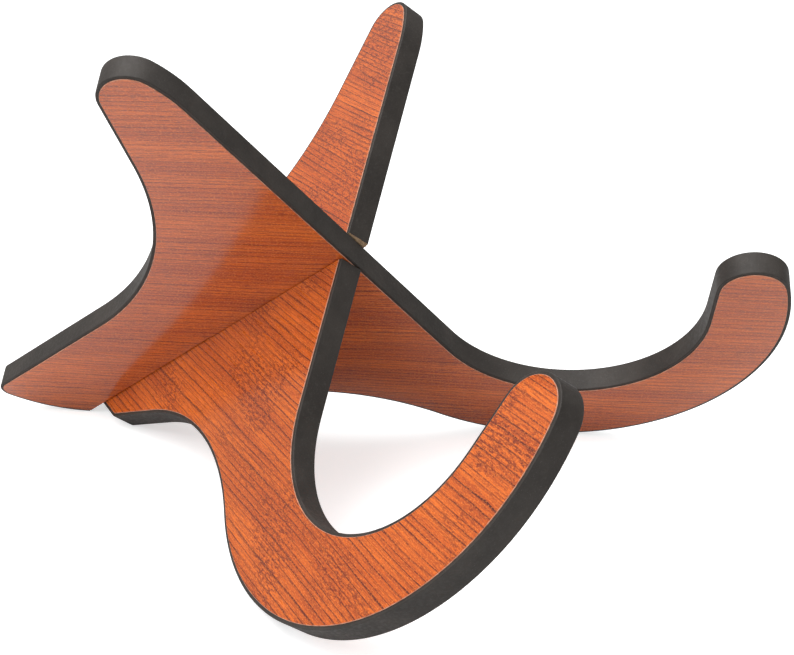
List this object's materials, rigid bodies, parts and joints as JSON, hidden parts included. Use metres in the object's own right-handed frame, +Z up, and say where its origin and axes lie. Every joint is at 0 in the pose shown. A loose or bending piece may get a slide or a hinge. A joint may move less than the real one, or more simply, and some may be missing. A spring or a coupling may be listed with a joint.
{
  "type": "instrument stand",
  "caption": "Take-apart floor or table stand for a small guitar, ukulele or violin: crossed slotted boards with arms to lean on and hooked cradles.",
  "frame": {"origin": "middle of the footprint, on the floor, under the stand", "axes": "+Z up, -Y to the front where the instrument sits, +X to the side of the upper board's cradle; the two boards mirror each other about X = 0"},
  "size_m": [0.2152, 0.2842, 0.1635],
  "materials": {
    "painted_fibreboard": "fibreboard with matt black painted edges, raw in the slot",
    "wood_grain_veneer": "reddish brown wood grain, satin lacquer"
  },
  "bodies": {
    "lower_board": {"lower_board_core": "painted_fibreboard", "lower_board_right_veneer": "wood_grain_veneer", "lower_board_left_veneer": "wood_grain_veneer"},
    "upper_board": {"upper_board_core": "painted_fibreboard", "upper_board_right_veneer": "wood_grain_veneer", "upper_board_left_veneer": "wood_grain_veneer"}
  },
  "joints": [
    {"name": "upper_board_lift", "type": "slide", "parent": "lower_board", "child": "upper_board", "axis": [0, -0.8165, 0.5774], "range_m": [0, 0.165]}
  ]
}
